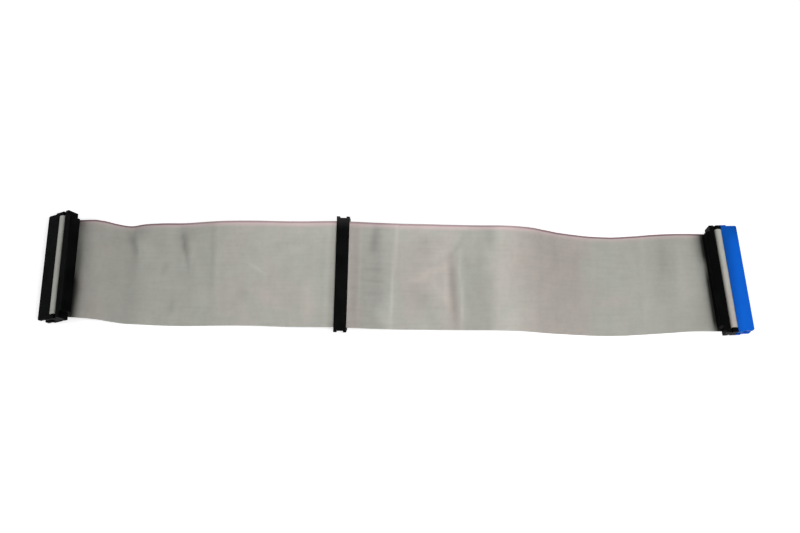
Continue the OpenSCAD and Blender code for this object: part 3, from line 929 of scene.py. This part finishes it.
    def _inside(self, name: str) -> list[np.ndarray]:
        """Stations of the ribbon inside one end socket, from the cut end to the exit.

        Args:
            name: end or host.

        Returns:
            Stations (x, y, z, tilt, turn).
        """
        place = self.places[name]
        if name == "end":
            side, bend = 1, self.end_bend
        else:
            side, bend = -1, self.socket.clamp_edge + self.sizes.thickness / 2
        matrix = place.matrix()
        stations = []
        for u, w in self._socket_path(bend, abs(place.turn[1])):
            point = matrix @ Vector((side * u, 0, w))
            stations.append(np.array([*point, 0, place.turn[2]]))
        return stations

    def _smooth(self, stations: Sequence[np.ndarray]) -> list[np.ndarray]:
        """Draws a smooth curve through stations.

        Args:
            stations: the stations, of which the first and last are only directions.

        Returns:
            Points between them, without the curve's own first and last.
        """
        out = []
        for i in range(1, len(stations) - 2):
            a, b, c, d = (np.asarray(s, float) for s in stations[i - 1:i + 3])
            for k in range(1 if i == 1 else 0, self.run_steps):
                t = k / self.run_steps
                out.append((
                    2 * b + (c - a) * t + (2 * a - 5 * b + 4 * c - d) * t**2 + (3 * b - a - 3 * c + d) * t**3
                ) / 2)
        return out

    def stations(self) -> np.ndarray:
        """Strings the whole centre line together.

        Returns:
            One row (x, y, z, tilt, turn) for each ring.
        """
        end, host = self._inside("end"), self._inside("host")
        middle, half = self.places["middle"], self.socket.half

        def through(u: float) -> np.ndarray:
            """Station in the middle socket's crimp."""
            point = middle.matrix() @ Vector((u, 0, self.socket.crimp))
            return np.array([*point, middle.turn[0], middle.turn[2]])

        def ahead(station: np.ndarray, distance: float) -> np.ndarray:
            """Station moved straight along the cable."""
            turn = math.radians(station[4])
            return station + distance * np.array([math.cos(turn), math.sin(turn), 0, 0, 0])

        before = [ahead(end[-1], -self.lead), end[-1], *self.end_run, through(-half), through(self.lead)]
        after = [through(-self.lead), through(half), *self.host_run, host[-1], ahead(host[-1], self.lead)]
        crimped = [through(u) for u in (-half, 0, half)]
        runs = self._smooth(before) + crimped + self._smooth(after)
        return np.vstack([end, self._spread(np.array(runs)), host[::-1]])

    def _spread(self, stations: np.ndarray) -> np.ndarray:
        """Picks the rings of the free ribbon, closer together at its folds and clamps.

        Args:
            stations: many points of the centre line.

        Returns:
            The chosen rings, ends included.
        """
        x = stations[:, 0]
        lengths = np.linalg.norm(np.diff(stations[:, :3], axis=0), axis=1)
        need = 1 + self.fold_detail * np.exp(-((np.abs(x) - self.clamp_exit) / self.clamp_reach) ** 4)
        for fold in self.folds:
            if fold.wide < self.narrow:
                need += self.fold_detail * np.exp(-((x - fold.x) / fold.reach) ** 4)
        need = np.minimum(need, 1 + self.fold_detail)
        total = np.concatenate([[0], np.cumsum(lengths * (need[1:] + need[:-1]) / 2)])
        wanted = np.linspace(0, total[-1], self.free_rings)
        return np.stack([np.interp(wanted, total, column) for column in stations.T], 1)

    def section(self) -> np.ndarray:
        """Draws the ribbed section.

        Returns:
            Its outline as (across, height), from the striped edge round.
        """
        half_w, half_t, pitch = self.sizes.width / 2, self.sizes.thickness / 2, self.sizes.pitch
        top: list[tuple[float, float]] = []
        for c in range(self.sizes.conductors):
            middle = half_w - (c + 0.5) * pitch
            top += [(middle + self.crest * pitch, half_t), (middle - self.crest * pitch, half_t)]
            if c < self.sizes.conductors - 1:
                top.append((middle - 0.5 * pitch, half_t - self.web_depth))
        edge = [(half_w - inset, share * half_t) for inset, share in self.edge_round]
        half = edge + top + [(-a, b) for a, b in reversed(edge)]
        return np.array(half + [(-a, -b) for a, b in half])

    def _relief(self, x: np.ndarray, v: np.ndarray) -> np.ndarray:
        """Height that folds and ripples add.

        Args:
            x: places along the cable.
            v: places across the ribbon.

        Returns:
            The height at each place.
        """
        out = sum(f.rise * f.weight(x, v) for f in self.folds)
        out = out + self.ripple.at(x, self.ripple_slant * v) * self.swell.at(x)
        free = np.ones_like(x)
        for low, high in self.held:
            gap = np.maximum(np.maximum(low - x, x - high), 0)
            free *= np.clip(gap / self.settle, 0, 1) ** 2
        return out * free

    def _wrap(self, rings: int) -> np.ndarray:
        """Painted light and shade on the rings that a socket holds.

        Args:
            rings: number of rings.

        Returns:
            One round a cover, less under its clamp, and zero where the ribbon is free.
        """
        bend, straight = self.arc_steps + 1, self.straight_steps
        turning, under = np.linspace(1, self.tucked, bend), np.full(straight - 1, self.tucked)
        inward = np.concatenate([np.ones(straight + bend), turning, under])
        out = np.zeros(rings)
        out[:len(inward)] = inward
        out[rings - len(inward):] = inward[::-1]
        return out

    def _traces(self, x: np.ndarray, v: np.ndarray, wrapped: np.ndarray) -> dict[Trace, np.ndarray]:
        """What the insulation's attributes are at points of the ribbon.

        Args:
            x: places along the cable.
            v: places across the ribbon.
            wrapped: painted light on the rings that a socket holds, and zero elsewhere.

        Returns:
            Attribute to values.
        """
        place, light, yellow = np.array(self.bands, float).T
        bent = x + self.waver.at(v) + self.flutter.at(v, x / self.flutter_drift)
        # Painted light and shade from the bands and the folds, with painted shadow at the clamps.
        tone = np.interp(bent, place, light) + sum(f.tone * f.weight(x, v) for f in self.folds)
        warm = np.interp(bent, place, yellow) + sum(f.warmth * f.weight(x, v) for f in self.folds)
        gripped = wrapped > 0
        tinted = np.where(x > 0, self.tint_level - v / self.tint_fall + self.tint.at(v), 0)
        # Round a cover the wrap paints light, and under a clamp it paints shade.
        shade = np.where(gripped, self.wrap_light * wrapped - self.wrap_dark, tone)
        return {
            Trace.PAINTED_LIGHT_AND_SHADE: np.maximum(1 + shade, self.darkest),
            Trace.YELLOWING: np.clip(np.where(gripped, tinted, warm), 0, 1),
            Trace.STRIPE: np.interp(x, *zip(*self.stripe_strength)) * ~gripped,
            Trace.EDGE_LINE: np.interp(x, *zip(*self.line_strength)) * ~gripped,
        }

    @staticmethod
    def _directions(path: np.ndarray) -> tuple[np.ndarray, np.ndarray, np.ndarray]:
        """Directions of each ring.

        Args:
            path: the centre line's stations.

        Returns:
            Across the ribbon, out of its upper face, and how much longer the height is at a bend.
        """
        tilt, turn = np.radians(path[:, 3]), np.radians(path[:, 4])
        side = np.stack([-np.sin(turn) * np.cos(tilt), np.cos(turn) * np.cos(tilt), np.sin(tilt)], 1)

        def unit(vectors: np.ndarray) -> np.ndarray:
            """Vectors made one long."""
            return vectors / np.linalg.norm(vectors, axis=1)[:, None]

        steps = unit(np.diff(path[:, :3], axis=0))
        before = unit(np.cross(np.vstack([steps[:1], steps]), side))
        after = unit(np.cross(np.vstack([steps, steps[-1:]]), side))
        normal = unit(before + after)
        return side, normal, 1 / (normal * before).sum(1)

    @staticmethod
    def _faces(rings: int, count: int) -> list[tuple[int, ...]]:
        """Faces round the ribbon, and strips that close both cut ends.

        Args:
            rings: number of rings.
            count: points in a ring.

        Returns:
            Vertex numbers of each face.
        """
        ring = np.arange(count)
        out: list[tuple[int, ...]] = []
        for base in range(0, (rings - 1) * count, count):
            a, b = base + ring, base + (ring + 1) % count
            out += [tuple(q) for q in np.stack([a, a + count, b + count, b], 1).tolist()]
        for base, last in ((0, False), ((rings - 1) * count, True)):
            for k in range(count // 2 - 1):
                a, b = base + k, base + k + 1
                c, d = base + count - 2 - k, base + count - 1 - k
                strip = (a, b, c, d) if len({a, b, c, d}) == 4 else (a, b, d)
                out.append(strip[::-1] if last else strip)
        return out

    def _map(self, piece: bpy.types.Object, centre: np.ndarray, section: np.ndarray) -> None:
        """Writes the map that the insulation reads: distance along and across, in metres.

        Args:
            piece: the ribbon.
            centre: its centre line.
            section: its outline.
        """
        along = np.concatenate([[0], np.cumsum(np.linalg.norm(np.diff(centre, axis=0), axis=1))])
        u = np.repeat(along, len(section)) * MM
        v = np.tile(section[:, 0] + self.sizes.width / 2, len(centre)) * MM
        loops = np.zeros(len(piece.data.loops), np.int64)
        piece.data.loops.foreach_get("vertex_index", loops)
        layer = piece.data.uv_layers.new(name="lay")
        layer.data.foreach_set("uv", np.stack([u[loops], v[loops]], 1).astype(np.float32).ravel())

    def build(self) -> tuple[bpy.types.Object, list[list[float]]]:
        """Lofts the ribbon.

        Returns:
            The object, and its centre line in metres.
        """
        path, section = self.stations(), self.section()
        centre, rings, count = path[:, :3], len(path), len(section)
        side, normal, mitre = self._directions(path)
        v, h = section[:, 0][None, :], section[:, 1][None, :]
        x, across = np.repeat(centre[:, :1], count, 1), np.repeat(v, rings, 0)
        height = h * mitre[:, None] + self._relief(x, across)
        points = centre[:, None] + v[..., None] * side[:, None] + height[..., None] * normal[:, None]
        piece = mesh_object("ribbon_insulated", points.reshape(-1, 3) * MM, self._faces(rings, count))
        self._map(piece, centre, section)
        for trace, values in self._traces(x, across, self._wrap(rings)[:, None]).items():
            layer = piece.data.attributes.new(trace.value, "FLOAT", "POINT")
            layer.data.foreach_set("value", values.astype(np.float32).ravel())
        return piece, (centre * MM).tolist()

    def declare(self, piece: bpy.types.Object) -> None:
        """Attaches the ribbon to the root body and hides the CAD ribbon that it stands for.

        Args:
            piece: the ribbon.
        """
        leaves = self._inside("end")[-1][:3] * MM
        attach(piece, "root")
        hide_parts("ribbon")


@dataclass
class ConductorEnds:
    """The cut strands that show in the cut edge on one side (1 or -1) of a socket's u."""

    socket: Socket
    side: int
    ribbon: RibbonSizes = RibbonSizes()
    strand_radius: float = 0.05
    strand_sides: int = 8
    strands_round: int = 6
    length: float = 0.5
    proud: float = 0.04

    def _inputs(self) -> dict[str, tuple[str, float]]:
        """The tree's inputs: name to socket type and value."""
        return {
            "Conductors": ("NodeSocketInt", self.ribbon.conductors),
            "Pitch": ("NodeSocketFloat", self.ribbon.pitch * MM),
            "Strand radius": ("NodeSocketFloat", self.strand_radius * MM),
            "Strand length": ("NodeSocketFloat", self.length * MM),
        }

    def _tree(self, material: bpy.types.Material) -> bpy.types.NodeTree:
        """Geometry tree: one strand with others round it to a conductor, and a row of conductors.

        Args:
            material: the strands' finish.

        Returns:
            The tree, whose inputs are its sizes.
        """
        tree = bpy.data.node_groups.new(f"{self.socket.name}_conductor_row", "GeometryNodeTree")
        tree.interface.new_socket("Geometry", in_out="OUTPUT", socket_type="NodeSocketGeometry")
        for name, (kind, _) in self._inputs().items():
            tree.interface.new_socket(name, in_out="INPUT", socket_type=kind)
        graph = Graph(tree)
        given, sink = graph.add("NodeGroupInput").outputs, graph.add("NodeGroupOutput")
        strand = graph.add("GeometryNodeMeshCylinder", {
            "Vertices": self.strand_sides, "Radius": given["Strand radius"], "Depth": given["Strand length"],
        })
        ring = graph.add("GeometryNodeMeshCircle", {
            "Vertices": self.strands_round, "Radius": graph.math("MULTIPLY", given["Strand radius"], 2.0),
        })
        centre = graph.add("GeometryNodeMeshLine", {"Count": 1})
        places = graph.add("GeometryNodeJoinGeometry")
        for part in (ring, centre):
            tree.links.new(part.outputs[0], places.inputs[0])
        bundle = graph.add("GeometryNodeInstanceOnPoints", {
            "Points": places.outputs[0], "Instance": strand.outputs["Mesh"],
        })
        offset = graph.add("ShaderNodeCombineXYZ", {1: given["Pitch"]})
        row = graph.add("GeometryNodeMeshLine", {"Count": given["Conductors"], "Offset": offset.outputs[0]})
        rows = graph.add("GeometryNodeInstanceOnPoints", {
            "Points": row.outputs[0], "Instance": bundle.outputs[0],
        })
        solid = graph.add("GeometryNodeRealizeInstances", {0: rows.outputs[0]})
        finish = graph.add("GeometryNodeSetMaterial", {"Geometry": solid.outputs[0], "Material": material})
        graph.feed(sink.inputs[0], finish.outputs[0])
        return tree

    def _place(self) -> Matrix:
        """Where the row goes.

        Returns:
            What moves a row made at the origin, in metres, to the ribbon's cut edge.
        """
        first = Matrix.Translation((
            self.side * (self.socket.sizes.half - self.ribbon.cut_back + self.proud - self.length / 2),
            -(self.ribbon.conductors - 1) / 2 * self.ribbon.pitch, self.socket.sizes.crimp,
        ))
        upright = Matrix.Rotation(math.radians(90), 4, "Y")
        lift = Matrix.Diagonal((MM, MM, MM, 1)) @ self.socket.matrix() @ first
        return lift @ Matrix.Diagonal((1 / MM, 1 / MM, 1 / MM, 1)) @ upright

    def build(self, material: bpy.types.Material) -> bpy.types.Object:
        """Makes the row of cut strands.

        Args:
            material: the strands' finish.

        Returns:
            The piece.
        """
        name = f"{self.socket.name}_conductor_ends"
        maker = mesh_object(f"{name}_maker", np.zeros((1, 3)), [])
        modifier = maker.modifiers.new("row", "NODES")
        modifier.node_group = self._tree(material)
        values = self._inputs()
        for item in modifier.node_group.interface.items_tree:
            if item.name in values:
                modifier[item.identifier] = values[item.name][1]
        bpy.context.view_layer.update()
        evaluated = maker.evaluated_get(bpy.context.evaluated_depsgraph_get())
        mesh = bpy.data.meshes.new_from_object(evaluated)
        bpy.data.objects.remove(maker)
        mesh.transform(self._place())
        mesh.name = name
        piece = scene_object(name, mesh)
        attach(piece, "root")
        return piece


# ---- Studio ----


@dataclass(frozen=True)
class Softbox:
    """An area light that points at a target, in metres and watts."""

    name: str
    place: tuple[float, float, float]
    target: tuple[float, float, float]
    size: float
    power: float

    def build(self) -> None:
        """Adds the light."""
        light = bpy.data.lights.new(self.name, "AREA")
        light.shape = "DISK"
        light.size, light.energy = self.size, self.power
        lamp = scene_object(self.name, light)
        lamp.location = self.place
        aim = Vector(self.target) - Vector(self.place)
        lamp.rotation_euler = aim.to_track_quat("-Z", "Y").to_euler()


@dataclass(frozen=True)
class Studio:
    """Camera, pale floor and soft light, in metres and degrees.

    The floor is as pale as paper, and lift is the glow with which it reads as white.
    """

    elevation: float = 70.0
    distance: float = 0.4755
    aim: tuple[float, float, float] = (0.0033, 0.00735, 0.0)
    roll: float = 0.86
    lens: float = 43.0
    sensor: float = 36.0
    clip: tuple[float, float] = (0.01, 20.0)
    ambient: float = 0.36
    lift: float = 0.55
    paper: float = 0.86
    floor_half: float = 4.0
    lights: tuple[Softbox, ...] = (
        Softbox("key_softbox", (0.05, -0.12, 0.28), (0.045, 0, 0), 0.18, 0.46),
        Softbox("left_softbox", (-0.48, -0.02, 0.42), (-0.05, 0, 0), 0.3, 0.4),
        Softbox("right_softbox", (0.52, 0.06, 0.4), (0.05, 0, 0), 0.3, 0.6),
    )

    def camera(self) -> None:
        """Adds the camera and makes it the scene's."""
        data = bpy.data.cameras.new("camera")
        data.lens, data.sensor_width = self.lens, self.sensor
        data.clip_start, data.clip_end = self.clip
        camera = scene_object("camera", data)
        angle = math.radians(self.elevation)
        forward = Vector((0, math.cos(angle), -math.sin(angle)))
        camera.location = Vector(self.aim) - forward * self.distance
        pitch = Matrix.Rotation(math.radians(90) - angle, 4, "X")
        turn = pitch @ Matrix.Rotation(math.radians(self.roll), 4, "Z")
        camera.rotation_euler = turn.to_euler()
        bpy.context.scene.camera = camera

    @staticmethod
    def _seen(graph: Graph) -> bpy.types.NodeSocket:
        """Tells rays that come from the camera, a mirror or glass.

        Args:
            graph: the graph of the floor or the surround.

        Returns:
            One for such rays, and zero for others.
        """
        path = graph.add("ShaderNodeLightPath")
        seen = graph.math("MAXIMUM", path.outputs["Is Camera Ray"], path.outputs["Is Glossy Ray"])
        return graph.math("MAXIMUM", seen, path.outputs["Is Transmission Ray"])

    def floor(self) -> None:
        """Adds the floor, which reads as white and keeps the shadows."""
        half = self.floor_half
        corners = np.array([[-half, -half, 0], [half, -half, 0], [half, half, 0], [-half, half, 0]])
        floor = mesh_object("floor", corners, [(0, 1, 2, 3)], smooth=False)
        material = bpy.data.materials.new("floor_paper")
        graph = clean_graph(material)
        paper = graph.add("ShaderNodeBsdfDiffuse", {"Color": rgba([self.paper] * 3)})
        glow = graph.add("ShaderNodeEmission", {
            "Color": rgba((1, 1, 1)), "Strength": graph.math("MULTIPLY", self._seen(graph), self.lift),
        })
        both = graph.add("ShaderNodeAddShader", {0: paper.outputs[0], 1: glow.outputs[0]})
        graph.add("ShaderNodeOutputMaterial", {"Surface": both.outputs[0]})
        floor.data.materials.append(material)

    def world(self) -> None:
        """Sets an even surround that is white where it is seen."""
        world = bpy.data.worlds.new("surround")
        graph = clean_graph(world)
        strength = graph.ramp(self._seen(graph), 0.0, 1.0, self.ambient, 1.0)
        sky = graph.add("ShaderNodeBackground", {"Color": rgba((1, 1, 1)), "Strength": strength})
        graph.add("ShaderNodeOutputWorld", {"Surface": sky.outputs[0]})
        bpy.context.scene.world = world

    def build(self) -> None:
        """Adds floor, surround and lights."""
        self.floor()
        self.world()
        for light in self.lights:
            light.build()
        bpy.context.scene.view_settings.view_transform = "Standard"


def main() -> None:
    """Builds the cable's looks, piece by piece."""
    logging.basicConfig(level=logging.INFO, format="%(name)s: %(message)s")
    studio = Studio()
    studio.camera()
    effects = EffectLibrary()
    places = sockets()

    ribbon = Ribbon(places)
    piece, path = ribbon.build()
    piece.data.materials.append(INSULATION.material(effects))
    ribbon.declare(piece)
    log.info("%s: %d faces", piece.name, len(piece.data.polygons))

    materials = {f.name: f.material(effects) for f in (BLACK, BLACK_PAINTED_REFLECTION, BLUE, GOLD, TIN, COPPER)}
    for socket in places.values():
        socket.dress(materials)
    for name, side in (("end", 1), ("host", -1)):
        row = ConductorEnds(places[name], side).build(materials[COPPER.name])
        log.info("%s: %d faces", row.name, len(row.data.polygons))

    studio.build()


if __name__ == "__main__":
    main()
